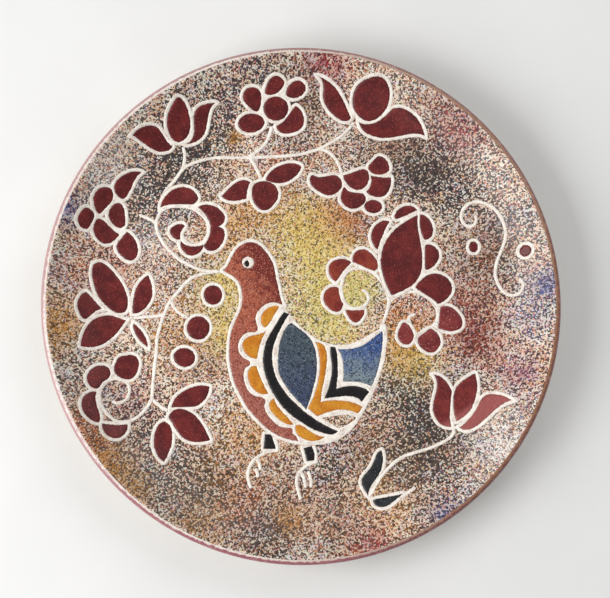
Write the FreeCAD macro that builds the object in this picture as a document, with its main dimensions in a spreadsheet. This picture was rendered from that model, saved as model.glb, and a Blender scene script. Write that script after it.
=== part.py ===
"""A hand painted ceramic plate, 300 mm across, as a parametric model in millimetres.

The plate is thrown and turned: a flat floor, a wall that curves up to a rounded lip, and a turned
foot ring underneath. Every revolved layer (clay, glazes) is a half section turned about the Z axis.
The picture is painted in raised enamel: each motif has its colour fields and, round and between
them, thick cream lines. A painted node is the motif's plan, extruded and cut to a thin layer that
follows the glazed face. Z points up, the foot stands on Z = 0 and the picture's top is towards +Y.
"""
import FreeCAD, Part
import math
import os
import Sketcher
from FreeCAD import Vector

doc = FreeCAD.newDocument("Plate")

# ---------------------------------------------------------------- driving dimensions
SIZES = {
    "rim_radius": 150.0,        # outside of the lip
    "overall_height": 30.0,     # resting face to the top of the lip
    "lip_radius": 2.6,          # the lip's round section
    "lip_colour_start": 100.0,  # where the rim's colour begins, in degrees round the lip's section
    "floor_radius": 104.0,      # flat part of the face
    "floor_top": 11.5,          # height of the flat face
    "back_radius": 98.0,        # where the underside starts to rise
    "back_height": 5.0,         # height of the underside between the foot and the wall
    "foot_radius": 88.0,        # outside of the foot ring
    "foot_width": 7.0,
    "foot_edge": 1.2,           # rounding of the foot's resting edges
    "foot_fillet": 2.0,         # rounding where the foot meets the plate
    "foot_bare": 1.6,           # height of unglazed clay above the resting face
    "well_height": 5.4,         # depth of the hollow inside the foot ring
    "glaze_thickness": 0.4,
    "enamel_thickness": 0.3,    # colour fields
    "slip_thickness": 0.5,      # raised cream lines
    "line_width": 2.0,
    "tip_reach": 3.5,           # how far a line runs out past a petal's point
}

sheet = doc.addObject("Spreadsheet::Sheet", "Sizes")
for row, (alias, size) in enumerate(SIZES.items(), start=1):
    sheet.set(f"A{row}", alias)
    sheet.set(f"B{row}", str(size))
    sheet.setAlias(f"B{row}", alias)
doc.recompute()


def number(text):
    """The value of an expression on the sheet."""
    value = sheet.evalExpression(text)
    return float(getattr(value, "Value", value))


# ---------------------------------------------------------------- the section, as expressions
# A path is a list of corners (radial, height, bend). The bend shapes the run to the next corner:
# None is straight, and (+1, radius) or (-1, radius) is an arc that turns left or right.
LIP_X = "(Sizes.rim_radius - Sizes.lip_radius)"
LIP_Z = "(Sizes.overall_height - Sizes.lip_radius)"
FACE_RUN = f"({LIP_X} - Sizes.floor_radius)"
FACE_RISE = f"({LIP_Z} - Sizes.floor_top)"
FACE_ARC = f"(({FACE_RUN}^2 + {FACE_RISE}^2 - Sizes.lip_radius^2) / (2 * ({FACE_RISE} + Sizes.lip_radius)))"
BACK_RUN = f"({LIP_X} - Sizes.back_radius)"
BACK_RISE = f"({LIP_Z} - Sizes.back_height)"
BACK_ARC = f"(({BACK_RUN}^2 + {BACK_RISE}^2 - Sizes.lip_radius^2) / (2 * ({BACK_RISE} - Sizes.lip_radius)))"
FOOT_INSIDE = "(Sizes.foot_radius - Sizes.foot_width)"


def lip_point(cosine, sine, depth):
    """A point on the lip's section, a depth below its surface."""
    reach = f"(Sizes.lip_radius - {depth})"
    return f"{LIP_X} + {reach} * {cosine}", f"{LIP_Z} + {reach} * {sine}"


def face_joint(depth):
    """Where the face's curve meets the lip."""
    span = f"({FACE_ARC} + Sizes.lip_radius)"
    return lip_point(f"(-{FACE_RUN} / {span})", f"(({FACE_ARC} - {FACE_RISE}) / {span})", depth)


def back_joint(depth):
    """Where the underside's curve meets the lip."""
    span = f"({BACK_ARC} - Sizes.lip_radius)"
    return lip_point(f"({BACK_RUN} / {span})", f"(({BACK_RISE} - {BACK_ARC}) / {span})", depth)


def colour_joint(depth):
    """Where the rim's colour begins."""
    return lip_point("cos(Sizes.lip_colour_start)", "sin(Sizes.lip_colour_start)", depth)


def face_path(depth):
    return [("0", f"Sizes.floor_top - {depth}", None),
            ("Sizes.floor_radius", f"Sizes.floor_top - {depth}", (1, f"{FACE_ARC} + {depth}")),
            (*face_joint(depth), None)]


def upper_lip_path(depth):
    return [(*face_joint(depth), (-1, f"Sizes.lip_radius - {depth}")), (*colour_joint(depth), None)]


def outer_lip_path(depth):
    return [(*colour_joint(depth), (-1, f"Sizes.lip_radius - {depth}")), (*back_joint(depth), None)]


def back_path(depth):
    return [(*back_joint(depth), (-1, f"{BACK_ARC} - {depth}")),
            ("Sizes.back_radius", f"Sizes.back_height + {depth}", None),
            ("Sizes.foot_radius + Sizes.foot_fillet", f"Sizes.back_height + {depth}",
             (1, f"Sizes.foot_fillet + {depth}")),
            (f"Sizes.foot_radius - {depth}", "Sizes.back_height - Sizes.foot_fillet", None),
            (f"Sizes.foot_radius - {depth}", "Sizes.foot_bare", None)]


def foot_path(depth):
    """The bare clay that the plate stands on."""
    return [(f"Sizes.foot_radius - {depth}", "Sizes.foot_bare", None),
            (f"Sizes.foot_radius - {depth}", "Sizes.foot_edge", (-1, "Sizes.foot_edge")),
            (f"Sizes.foot_radius - {depth} - Sizes.foot_edge", "0", None),
            (f"{FOOT_INSIDE} + {depth} + Sizes.foot_edge", "0", (-1, "Sizes.foot_edge")),
            (f"{FOOT_INSIDE} + {depth}", "Sizes.foot_edge", None),
            (f"{FOOT_INSIDE} + {depth}", "Sizes.foot_bare", None)]


def well_path(depth):
    return [(f"{FOOT_INSIDE} + {depth}", "Sizes.foot_bare", None),
            (f"{FOOT_INSIDE} + {depth}", "Sizes.well_height - Sizes.foot_fillet",
             (1, f"Sizes.foot_fillet + {depth}")),
            (f"{FOOT_INSIDE} - Sizes.foot_fillet", f"Sizes.well_height + {depth}", None),
            ("0", f"Sizes.well_height + {depth}", None)]


def join(*paths):
    """One path from several that follow each other."""
    joined = []
    for path in paths:
        if joined:
            joined.pop()
        joined.extend(path)
    return joined


def backwards(path):
    """The same path, travelled the other way."""
    turned = []
    for index in range(len(path) - 1, -1, -1):
        radial, height, _ = path[index]
        bend = path[index - 1][2] if index else None
        turned.append((radial, height, (-bend[0], bend[1]) if bend else None))
    return turned


# ---------------------------------------------------------------- revolved layers
def arc_between(start, end, side, radius):
    """An arc of less than half a turn; side is +1 when its centre lies to the left of travel."""
    chord = end - start
    middle = start + chord / 2
    offset = math.sqrt(radius ** 2 - (chord.Length / 2) ** 2)
    left = Vector(-chord.y, chord.x, 0) / chord.Length
    centre = middle + left * offset * side
    first, last = (start, end) if side > 0 else (end, start)
    angles = [math.atan2(point.y - centre.y, point.x - centre.x) for point in (first, last)]
    return Part.ArcOfCircle(Part.Circle(centre, Vector(0, 0, 1), radius), *angles)


def add_profile(sketch, path):
    """A closed, fully constrained profile whose corners are bound to the sheet."""
    points = [Vector(number(radial), number(height), 0) for radial, height, _ in path]
    heads = []
    tails = []
    for index, (_, _, bend) in enumerate(path):
        start, end = points[index], points[(index + 1) % len(points)]
        if bend:
            sketch.addGeometry(arc_between(start, end, bend[0], number(bend[1])))
        else:
            sketch.addGeometry(Part.LineSegment(start, end))
        heads.append(2 if bend and bend[0] < 0 else 1)
        tails.append(3 - heads[-1])
    for index, (radial, height, bend) in enumerate(path):
        following = (index + 1) % len(path)
        sketch.addConstraint(
            Sketcher.Constraint("Coincident", index, tails[index], following, heads[following]))
        for kind, axis, text, value in (("DistanceX", -2, radial, points[index].x),
                                        ("DistanceY", -1, height, points[index].y)):
            if text == "0":
                sketch.addConstraint(Sketcher.Constraint("PointOnObject", index, heads[index], axis))
            else:
                made = sketch.addConstraint(Sketcher.Constraint(kind, -1, 1, index, heads[index], value))
                sketch.setExpression(f"Constraints[{made}]", text)
        if bend:
            made = sketch.addConstraint(Sketcher.Constraint("Radius", index, number(bend[1])))
            sketch.setExpression(f"Constraints[{made}]", bend[1])


def turned_body(name, path):
    """A body made by turning a closed half section about the Z axis."""
    body = doc.addObject("PartDesign::Body", name)
    body.Label = name
    sketch = body.newObject("Sketcher::SketchObject", name + "_section")
    planes = {feature.Role: feature for feature in body.Origin.OriginFeatures}
    sketch.AttachmentSupport = [(planes["XZ_Plane"], "")]
    sketch.MapMode = "FlatFace"
    add_profile(sketch, path)
    turn = body.newObject("PartDesign::Revolution", name + "_turned")
    turn.Profile = sketch
    turn.ReferenceAxis = (sketch, ["V_Axis"])
    turn.Angle = 360.0
    return body


def layer_path(outside, inside, *parts):
    """The closed section of a layer between two depths below the finished surface."""
    outer = join(*[part(outside) for part in parts])
    inner = join(*[part(inside) for part in parts])
    return outer + backwards(inner)


GLAZE = "Sizes.glaze_thickness"
WHOLE_SURFACE = (face_path, upper_lip_path, outer_lip_path, back_path, foot_path, well_path)

turned = [
    turned_body("clay_body", join(*[part(GLAZE) for part in WHOLE_SURFACE])),
    turned_body("face_glaze", layer_path("0", GLAZE, face_path, upper_lip_path)),
    turned_body("lip_glaze", layer_path("0", GLAZE, outer_lip_path)),
    turned_body("back_glaze", layer_path("0", GLAZE, back_path)),
    turned_body("foot_well_glaze", layer_path("0", GLAZE, well_path)),
]
enamel_layer = turned_body("enamel_layer", layer_path("-Sizes.enamel_thickness", "0", face_path))
slip_layer = turned_body("slip_layer", layer_path("-Sizes.slip_thickness", "0", face_path))
doc.recompute()

# ---------------------------------------------------------------- painted outlines, in plan
# An outline is a list of runs of points (x, y). Each run is a smooth curve that ends on the next
# run's first point, where the outline has a corner. A single run closes smoothly on itself, and a
# single run that ends where it began has one corner there. disc() is a round or oval spot.


def disc(x, y, across, along, turn=0.0):
    return ("disc", x, y, across, along, turn)


TULIP_UPPER_LEFT = [
    [[(-99, 97.5), (-95, 101.4), (-89.5, 103.7), (-84.8, 103.2), (-81, 98.3)],
     [(-76.1, 93.2), (-79, 90.6), (-84.5, 89.9), (-92, 93.5)]],
    [[(-71.8, 120.1), (-68, 116), (-65.6, 107), (-67.6, 99), (-72.6, 95.9), (-77, 98.5), (-79.5, 106.5),
      (-76.8, 115)]],
    [[(-68, 95), (-63.4, 102.5), (-62.9, 113.4), (-57.5, 117.6)],
     [(-51.3, 118.5), (-55.2, 112), (-57.3, 101.5), (-61.5, 96.8)]],
]
ROSETTE = [
    disc(-15.2, 116.7, 7.4, 6.8),
    [[(-21.6, 125.1), (-20.6, 130.3), (-16, 134.5), (-10.6, 131.5), (-13.4, 126.4), (-21.6, 125.1)]],
    [[(-9.3, 125.4), (-7.2, 130.2), (-2.6, 132.5), (1.6, 130.2), (1.5, 126.3), (-3.8, 123), (-7.8, 123.4)]],
    [[(-15, 106.8), (-11.3, 102.4), (-4.5, 102.8), (0.7, 106.5), (0.8, 113.5)],
     [(-3.4, 118.3), (-7, 113.8), (-10, 110)]],
    disc(-29.8, 108, 7.7, 5.5, 8),
    [[(-29.3, 128.1), (-24.6, 125.8), (-24, 120.5), (-26.4, 115), (-31.5, 117.6), (-35, 122.5),
      (-33.4, 126.6)]],
]
TULIP_TOP = [
    [[(9.6, 134.8), (15.5, 132), (21.5, 126.5), (26, 118.8)],
     [(29.3, 112), (25.3, 110), (17.5, 114.8), (12.6, 122.8), (12.8, 129.5)]],
    [[(44.5, 133.8), (50.3, 129.8), (51.7, 122), (47.5, 113.6), (39.5, 109.8), (32.4, 114.5), (30, 122.5),
      (33, 129.8), (38.6, 133)]],
    [[(34, 109.3), (42.5, 108.5), (49.5, 112.6), (53.3, 116.3), (57.5, 117), (65.5, 113.2), (70.5, 106.8)],
     [(72.9, 100.8), (66, 102.2), (56, 100.8), (47, 100.2), (38.5, 103)]],
]
CENTRE_LEAVES = [
    [[(-47.2, 64.3), (-42.5, 68.9), (-36.5, 73.3)], [(-30.3, 72.6), (-31.9, 67.5)],
     [(-32.3, 62.8), (-38, 61.6), (-43.5, 61.9)]],
    [[(-23.5, 73.3), (-16.5, 71.5), (-13.7, 66), (-16, 60), (-21.3, 56.2), (-26.8, 58.8), (-29.2, 65.5),
      (-27.8, 71.3)]],
    [[(-21, 74), (-17.6, 79.5), (-11, 83.3), (-4, 84.1)],
     [(0, 82.2), (-4.5, 75.9), (-11.5, 72.4), (-17, 72.8)]],
]
RIGHT_BERRIES = [
    [[(7.2, 77.2), (14, 76.4), (21, 76.9), (24, 72.5), (21.3, 67.3), (15.5, 65.4), (9.2, 68.3), (5, 74.2)]],
    [[(24.8, 77.2), (31, 79.3), (36.8, 81.1)],
     [(39.6, 79.5), (39.7, 74), (36.5, 69.8), (32, 68.9), (27.6, 71.5)]],
    [[(47, 89), (51.2, 85.5), (51.8, 80.5), (46.5, 78), (41.5, 79.3), (39.6, 82.3), (43, 86.6)]],
    [[(41.1, 77.4), (46.5, 76.4)], [(53, 76.3), (52.2, 69.5), (48.5, 65.2), (42.5, 65.1)],
     [(38.5, 67.8), (41.2, 72.2)]],
    [[(26, 69.6), (31.5, 67), (36.8, 66.2), (38, 62.5), (34, 58.4), (28.5, 57.9), (23.5, 62),
      (23.9, 67.5)]],
    disc(42.5, 58.9, 5.2, 3.9, -3),
]
UPPER_SPIRAL = [
    [[(-83, 57.2), (-81.8, 61), (-76.5, 67.2), (-69.5, 69.4), (-63.2, 67), (-60.9, 62.5)],
     [(-64.8, 58.9), (-70, 59.2), (-77, 58.9)]],
    [[(-60.8, 57.3), (-55, 58.9), (-48.6, 56.6), (-45.2, 51.6)],
     [(-48.9, 46.2), (-45.3, 41.5), (-48.2, 34), (-53, 31.6)],
     [(-57.6, 34.6), (-54.2, 40), (-53.6, 47), (-56.6, 53)]],
    [[(-70.8, 37.4), (-70, 32.5), (-65.2, 28.8), (-59.5, 31)], [(-57.8, 35), (-63.5, 34.2), (-68.2, 35.2)]],
    [[(-68.4, 46.2), (-72.5, 47), (-77.1, 43.5), (-75, 39.3)], [(-71, 38.6), (-71, 42.2)]],
]
LEFT_BERRIES = [
    [[(-94.2, 77.3), (-101, 77), (-107.2, 72.9), (-109.6, 67.2), (-105.9, 61.8), (-102.3, 63.8),
      (-99.2, 70.3), (-94.2, 77.3)]],
    [[(-115.5, 67.5), (-111, 66), (-111, 60.5), (-114.8, 55.6), (-118, 52.1), (-121, 56.3), (-121.2, 62),
      (-118.8, 65.9)]],
    [[(-123.6, 54.4), (-120.9, 50.3), (-122.9, 46), (-125.3, 42.9), (-129, 44.3), (-130, 48.9),
      (-127.7, 52.9)]],
    [[(-107.6, 59), (-104.8, 57), (-103.6, 51.5), (-104, 46), (-107, 44.7), (-111.2, 47.5), (-112.9, 51.8),
      (-111.3, 56.4)]],
    [[(-106.9, 41), (-111.3, 36.2), (-115.5, 35.3), (-119.8, 38.6), (-121.4, 44), (-118.7, 49.2),
      (-115, 47.7), (-111, 43.8), (-106.9, 41)]],
    [[(-101.5, 42.2), (-98.2, 38.8), (-95.8, 33), (-96.8, 27.4), (-100.8, 25.5), (-106, 29),
      (-108.2, 34), (-105, 39.2)]],
]
LEFT_LEAVES = [
    [[(-121.3, 22.6), (-115.5, 23.6), (-108.5, 16.8), (-103.2, 8.8), (-101.3, 0.5)],
     [(-102.8, -4.6), (-108.5, -4.9), (-114.6, -0.6), (-119.6, 6.5), (-121.9, 15)]],
    [[(-89.8, 17), (-87.3, 10), (-87.9, 3), (-92.5, -3.4)],
     [(-98.4, -5.5), (-98.2, 1), (-96.2, 9.7), (-93, 14.4)]],
    [[(-125.3, 6.4), (-121, 2.2)],
     [(-116.2, -3), (-121.5, -5.9), (-126.3, -9.1), (-129.8, -3.5), (-129, 2.8)]],
    [[(-102.3, -9.6), (-107.5, -7.9), (-113.5, -6.9), (-121.5, -10), (-126, -16.5)],
     [(-127.6, -25), (-121.5, -25.6), (-114, -23), (-107, -16.2)]],
    [[(-97.8, -11.4), (-94, -14.8), (-90.6, -20)], [(-89.5, -25.2), (-94, -21.2), (-97.6, -15.5)]],
]
BERRY_COLUMN = [disc(-51.8, 5.6, 5.3, 5.5), disc(-60.2, -13.9, 6.5, 6.8), disc(-68.2, -31, 6.3, 5.4, -12)]
LOWER_SPIRAL = [
    [[(-101.5, -30), (-96, -31), (-94.6, -35.5), (-97, -42), (-101, -43.9), (-107.5, -41.3),
      (-108.5, -36.5), (-106, -31.3)]],
    [[(-115.5, -36.3), (-111, -38.9), (-111.5, -43), (-115.2, -46), (-117.6, -49.4), (-121.5, -48.6),
      (-124, -43.3), (-121.2, -38)]],
    [[(-118.3, -51.8), (-118.3, -57.8), (-116, -66)], [(-116.8, -69), (-121.3, -67.3), (-125.8, -61.5),
      (-125.7, -55.3), (-121.8, -51.9)]],
    [[(-114.6, -70), (-108.5, -70.6)], [(-100.6, -70.3), (-102, -75.8), (-107, -78.2), (-112.7, -75.4)]],
]
LOWER_LEAVES = [
    [[(-75.2, -60), (-72.5, -54), (-67, -49.8), (-60, -47.6)],
     [(-53.6, -48.2), (-55.3, -54), (-59.8, -58.8), (-66, -59.8)]],
    [[(-77, -65.8), (-72, -61), (-65.5, -62.3), (-59, -68)],
     [(-53, -78.9), (-61, -80), (-68, -78), (-73.3, -72)]],
    [[(-79.3, -68.3), (-75.8, -71.8), (-75, -79.5), (-77, -87)],
     [(-79.5, -91.6), (-84, -86), (-85.2, -78.5), (-83, -71)]],
]
RIGHT_LEAVES = [
    [[(68.6, 53.8), (60, 48.7), (51, 39.8), (46.9, 27), (48.6, 16)],
     [(53, 6), (61, 9.6), (68.3, 15.2), (71.4, 27), (70, 40)]],
    [[(68.5, 56.9), (64, 59.5), (58.5, 57.9), (55, 53.5)], [(56, 51.4), (62, 53.9)]],
    [[(52, 49.5), (48, 50.1), (42.8, 46.2), (41.4, 39.5)], [(44.9, 32.9), (47.5, 40.5), (49.8, 45.5)]],
    [[(70.3, 54.2), (74.5, 52.6), (77.8, 46.5), (76.8, 41.2)], [(73, 39.3), (71.3, 42.5), (70.2, 48.5)]],
    [[(73.2, 35.4), (77, 36), (81, 32), (80.3, 26.5), (76, 21.8)], [(73.2, 21.6), (73, 28.5)]],
    [[(67.5, 10.6), (71.5, 16), (79, 19), (86.3, 16), (88.6, 9.5), (85.5, 4)],
     [(80.3, 1), (76.5, 4.6), (72, 7.4)]],
]
CENTRE_SPIRAL = [
    [[(30.2, 25.8), (31.5, 31), (36, 33.3), (42.3, 29.6), (45.2, 23.8)], [(42.8, 20.4), (36.5, 23)]],
    [[(29.3, 25.4), (22.5, 27.3), (17, 24.3), (16.2, 18.8)], [(20.3, 14), (24.2, 19.5)]],
    [[(21.8, 10.2), (22.5, 5)], [(24.4, 0.9), (20, -3.9), (14.5, 0), (13, 5), (16, 9.8)]],
    [[(25.8, -2.6), (31, -3.2)], [(36.7, -2.8), (35.6, -7.2), (31.7, -10), (27.6, -6.6)]],
]
RIGHT_SPIRAL = [
    [[(82, -1), (87.5, -0.8), (93.3, -5.5), (94.3, -11.8), (89.5, -15), (85, -14.6)],
     [(80.6, -13.2), (81.3, -7)]],
    [[(76.8, -13.8), (80.8, -17.4), (81.6, -22.5), (77.5, -27.4), (71.5, -26), (68.4, -21), (69.6, -18),
      (73.2, -15.5)]],
    [[(61.2, -10.4), (64.8, -14.2), (65.8, -19), (63.2, -22.6), (58.7, -21.8), (56.5, -17.3),
      (58.2, -12.9)]],
]
SCROLL_SPOTS = [disc(101.8, 35.1, 2.5, 3.3), disc(131, 31.8, 3.1, 3.4)]
TULIP_LOWER_RIGHT = [
    [[(77.6, -40.8), (82.5, -42.2), (86, -46)], [(88.2, -50.5), (87.3, -57), (86.7, -64)],
     [(87.3, -71), (80.5, -68.5), (76.9, -60.5), (79.3, -49)]],
    [[(101.9, -40), (102.8, -48.5), (100.5, -58.2), (95.5, -64.6)],
     [(90.4, -67.8), (88.9, -58.5), (90.5, -49), (95.5, -43.3)]],
    [[(92.2, -71.5), (98.5, -66), (103, -59.5), (107, -53.4), (113.5, -52.2)],
     [(122, -55.8), (114, -60.3), (106, -67.5), (98, -72.6)]],
]
LEAF_PAIR = [
    [[(46.6, -84.8), (47.4, -89), (46, -97), (41.2, -104.5)],
     [(38.8, -110.8), (36.3, -107), (35.3, -101.5), (40.5, -94.4), (43.8, -87.5)]],
    [[(41.5, -113.4), (49, -111.9)], [(58.6, -110), (53, -114.3), (47.2, -117.5), (42.8, -116.3)]],
]

# The bird: its whole outline, then the fields that lie inside it.
BIRD_OUTLINE = [
    [(-46.3, 20.2), (-42.6, 24), (-39.3, 31), (-34.3, 35.7), (-29.3, 36.9), (-24.3, 34.6), (-19.5, 29.6),
     (-16.3, 23.5), (-14.4, 13.5), (-11.9, 2.5)],
    [(-10.6, -0.7), (-3, -10), (6.5, -18.2), (16, -22.4), (27, -23), (38, -18.4)],
    [(48, -12.5), (48.2, -22.7), (46.2, -34.7), (41.5, -48), (34, -63), (22.5, -75.8), (6, -80), (-9, -78),
     (-22.5, -70), (-35.5, -53), (-42, -32), (-40, -13), (-35, -1), (-36.3, 12.3), (-41, 17.3)],
]
BREAST_SCALLOPS = [
    [[(-13, -1.1), (-18, -1.3), (-22.9, -5.5), (-23.3, -11)],
     [(-21.5, -13.3), (-18.3, -10), (-15.5, -5.3)]],
    [[(-20.8, -15.2), (-26, -17.8), (-31.5, -19.4), (-34.4, -24), (-31.3, -29.6)],
     [(-25.9, -31.3), (-24.6, -24.5)]],
    [[(-26, -36), (-30.6, -38.5), (-30.3, -45.3), (-25.6, -51)],
     [(-19.4, -51.8), (-22.6, -45.5), (-25, -39.5)]],
    [[(-15.8, -54.9), (-18.7, -59.3), (-15.2, -65), (-9.5, -69)],
     [(-4.5, -69.9), (-9.5, -64.3), (-13.6, -59.6)]],
    [[(-3.3, -70.6), (-1.9, -75.8), (4, -79.2)], [(13.8, -77), (7, -75), (1, -71)]],
]
BLACK_FEATHERS = [
    [[(-10.2, -4.4), (-14.9, -11.3), (-20.4, -21.5), (-22.4, -32.5), (-20, -44.4), (-12.8, -57.3),
      (-1, -67.9), (10.5, -74.2), (17.5, -75.5)],
     [(21.3, -73.5), (8, -67), (-3, -58), (-12.2, -47.5), (-16.2, -38), (-17, -28), (-13.8, -17)],
     [(-7.2, -5.6)]],
    [[(17.2, -24.6)], [(19.8, -24.6), (21.2, -34), (21, -44)], [(20.4, -49), (28, -47.5), (34, -48)],
     [(39.6, -50.7)], [(35.4, -56.5), (29, -53.4), (21, -53.6)],
     [(13.4, -54.7), (16.3, -47), (17.8, -36), (16.9, -28)]],
]
WING_PANEL = [
    [[(-5.8, -10.6), (1.2, -15.8), (6.9, -22.5), (9, -34), (7.4, -47)],
     [(2.9, -61), (-6, -51.5), (-12.6, -41), (-13.6, -29.5), (-11, -17)]],
]
OCHRE_BAND = [
    [[(8.6, -21.8), (13.6, -24.5), (14.8, -33), (12.6, -46.5)], [(11.3, -56.9), (17, -55.9), (26, -56.3)],
     [(35.8, -59.8)], [(33, -63.4), (26, -61.3), (18, -61.9)], [(9.4, -65.2)],
     [(3.9, -60.3), (8.6, -49.5), (10.6, -38), (10.3, -28)]],
]
TAIL_PANEL = [
    [[(21.6, -26), (28, -25.8), (36, -23.6), (42.5, -19)], [(47.6, -15.2), (47, -27), (44.2, -39.5)],
     [(40.8, -47.6), (34, -45.2)], [(24.4, -44.8), (24.6, -36), (23.4, -29.5)]],
]
THIGHS = [
    [[(-21, -75.6)], [(-17.6, -75.8), (-16, -79.5)], [(-14.9, -84)], [(-21.8, -83.9)]],
    [[(1.2, -83.6)], [(6, -82.4), (7.3, -86.5)], [(7.3, -90.7)], [(3.3, -91)]],
]
EYE_WHITE = [disc(-31.5, 25, 3.6, 3.5)]
PUPIL = [disc(-32.1, 24.3, 1.5, 1.8)]
# The bird's plain breast is its whole outline less the scallops and the wing, inside this border.
BREAST_BORDER = [
    [(-50, 45), (0, 45)],
    [(0, -2)],
    [(-13, 0.6), (-18, 1.2), (-24, -2), (-26.8, -8), (-25.6, -14.5)],
    [(-29, -16.2), (-34, -18), (-37, -24), (-34.6, -30.5), (-30, -33.6)],
    [(-32.6, -37), (-33, -46), (-28, -53), (-22, -54.6)],
    [(-21.6, -59), (-18, -66.6), (-11, -71.4), (-6, -71.8)],
    [(-5.2, -75), (-2, -79)],
    [(-2, -90)],
    [(-60, -90)],
]

# ---------------------------------------------------------------- painted lines, in plan
UPPER_VINE = [
    [(-84, 56), (-81, 65.5), (-76, 72), (-70.2, 80), (-64, 83.8), (-52, 87), (-38, 87.3), (-20, 88),
     (-4, 89.3), (8, 92.3), (18, 97.2), (25, 102.3), (30.5, 108.6)],
    [(-70.2, 80), (-69, 86), (-69.6, 92.5)],
    [(-31, 88.3), (-25.5, 91.9), (-20.5, 97.8), (-18, 105.5)],
    [(-31, 87.7), (-27.5, 82.5), (-24, 75)],
    [(10, 93), (17, 90.3), (21.3, 85), (23.6, 78.7)],
]
UPPER_SPIRAL_LINE = [
    [(-46, 20), (-55, 19.8), (-64, 22.2), (-73, 27.6), (-80, 34.6), (-84.4, 42.5), (-84.9, 50), (-81, 56),
     (-73, 58), (-65.5, 57), (-58.3, 52.6), (-54.7, 45.5), (-56.4, 38.8), (-61.3, 35.4), (-66.7, 36),
     (-70, 40.2), (-68.4, 45.8)],
    [(-94.5, 52.3), (-90, 50.5), (-85, 47.8)],
]
LOWER_VINE = [
    [(-46, 19.7), (-56, 18.6), (-65, 15), (-72.5, 7), (-77.5, 0.5), (-81, -8), (-83.7, -17.3),
     (-84.6, -28), (-85.8, -41), (-86.9, -55)],
    [(-76, 1.8), (-73.5, -3), (-67.3, -7.4)],
    [(-80.6, -6.3), (-88, -7.3), (-99.5, -8.2)],
    [(-86.9, -55), (-82, -59.5), (-77.5, -61.8)],
]
LOWER_SPIRAL_LINE = [
    [(-86.9, -54.7), (-89.8, -60.5), (-97, -67), (-104.5, -68.8), (-111.5, -65), (-115.8, -58),
     (-116.3, -51), (-112.3, -45.3), (-105.8, -43.6), (-100.6, -47), (-100.3, -53), (-104, -57.3),
     (-108.5, -57.3)],
]
CENTRE_SPIRAL_LINE = [
    [(47.5, -12.6), (50.6, -3), (51.3, 3.2), (48.8, 11), (43.5, 18.3), (35, 21.9), (27.5, 20.2), (23.8, 13),
     (24.2, 4.5), (28.4, -1.2), (34.5, -1.6), (39, 2.6), (38.6, 6.3), (36.2, 8.7)],
]
RIGHT_SPIRAL_LINE = [
    [(51.3, 1), (56, 5.6), (64, 8.2), (72.5, 6), (78.5, 0), (80.2, -6), (77.3, -11.8), (72, -14.3),
     (68, -16.5), (64, -11), (63.3, -7.5), (66.2, -5.3)],
]
SCROLL_LINE = [
    [(103, 53), (102, 48.3), (98.3, 47.2), (95, 51), (95.6, 57), (100.5, 61.2), (108, 60.8), (115, 55.5),
     (119.4, 47.5), (120, 40), (116.6, 29.3), (114.3, 20.5), (116.4, 12.4), (122, 6.2), (127.5, 7),
     (129.9, 11), (128.3, 15)],
]
LOWER_STEM = [
    [(88.8, -72), (87.3, -76.7), (80.8, -80.9), (70, -85), (58.5, -89), (49.1, -96.7), (43.4, -104.6),
     (39.5, -110.8)],
    [(57.5, -111.3), (61.5, -109), (64.9, -106.6)],
]
FEET = [
    [(-14.3, -84.9), (-22.9, -87.1), (-28.9, -92.1), (-30.9, -98.4), (-29.6, -105.7)],
    [(-25.4, -90.8), (-24.4, -93), (-24, -95.5)],
    [(-26.3, -96.2), (-25.5, -97.8), (-25.2, -99.5)],
    [(8.6, -91.6), (1.1, -95.1), (-2.6, -100.4), (-2.4, -106), (-0.6, -112.4)],
    [(0, -97.5), (1.5, -101.4), (2.4, -105.7)],
    [(4.1, -97.7), (5.3, -101.2), (5.7, -105.1)],
]

# ---------------------------------------------------------------- plan shapes
SHARP_CORNER = 80.0     # degrees; a corner narrower than this gets a pointed line end


def spline(points, closed=False):
    """A smooth edge through points, spaced by the square root of their distances."""
    vectors = [Vector(x, y, 0) for x, y in points]
    if len(vectors) == 2:
        return Part.LineSegment(*vectors).toShape()
    loop = vectors + vectors[:1] if closed else vectors
    knots = [0.0]
    for near, far in zip(loop, loop[1:]):
        knots.append(knots[-1] + math.sqrt(near.distanceToPoint(far)))
    curve = Part.BSplineCurve()
    curve.interpolate(Points=vectors, PeriodicFlag=closed, Parameters=knots)
    return curve.toShape()


def facing_up(face):
    """The same flat face with its normal towards +Z, so that neighbours can merge."""
    return face if face.normalAt(0, 0).z > 0 else face.reversed()


def disc_face(x, y, across, along, turn):
    long, short = max(across, along), min(across, along)
    if long == short:
        edge = Part.Circle(Vector(x, y, 0), Vector(0, 0, 1), long).toShape()
    else:
        edge = Part.Ellipse(Vector(x, y, 0), long, short).toShape()
    edge.rotate(Vector(x, y, 0), Vector(0, 0, 1), turn if across >= along else turn + 90)
    return Part.Face(Part.Wire([edge]))


def outline_face(outline):
    if outline[0] == "disc":
        return disc_face(*outline[1:])
    if len(outline) > 1:
        following = outline[1:] + outline[:1]
        edges = [spline(run + after[:1]) for run, after in zip(outline, following)]
        return Part.Face(Part.Wire(edges))
    run = outline[0]
    if run[0] != run[-1]:
        return Part.Face(Part.Wire([spline(run, closed=True)]))
    edge = spline(run)
    middle = (edge.FirstParameter + edge.LastParameter) / 2
    return Part.Face(Part.Wire(edge.split(middle).Edges))


def corners(outline):
    """Each corner of an outline as (point, direction in, direction out)."""
    if outline[0] == "disc":
        return []
    if len(outline) == 1 and outline[0][0] != outline[0][-1]:
        return []
    runs = outline if len(outline) > 1 else [outline[0][:-1]]
    found = []
    for index, run in enumerate(runs):
        edge = spline(run + runs[(index + 1) % len(runs)][:1])
        before = runs[index - 1]
        arriving = spline(before + run[:1])
        point = Vector(*run[0], 0)
        way_in = arriving.tangentAt(arriving.LastParameter)
        way_out = edge.tangentAt(edge.FirstParameter)
        found.append((point, way_in, way_out))
    return found


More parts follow.
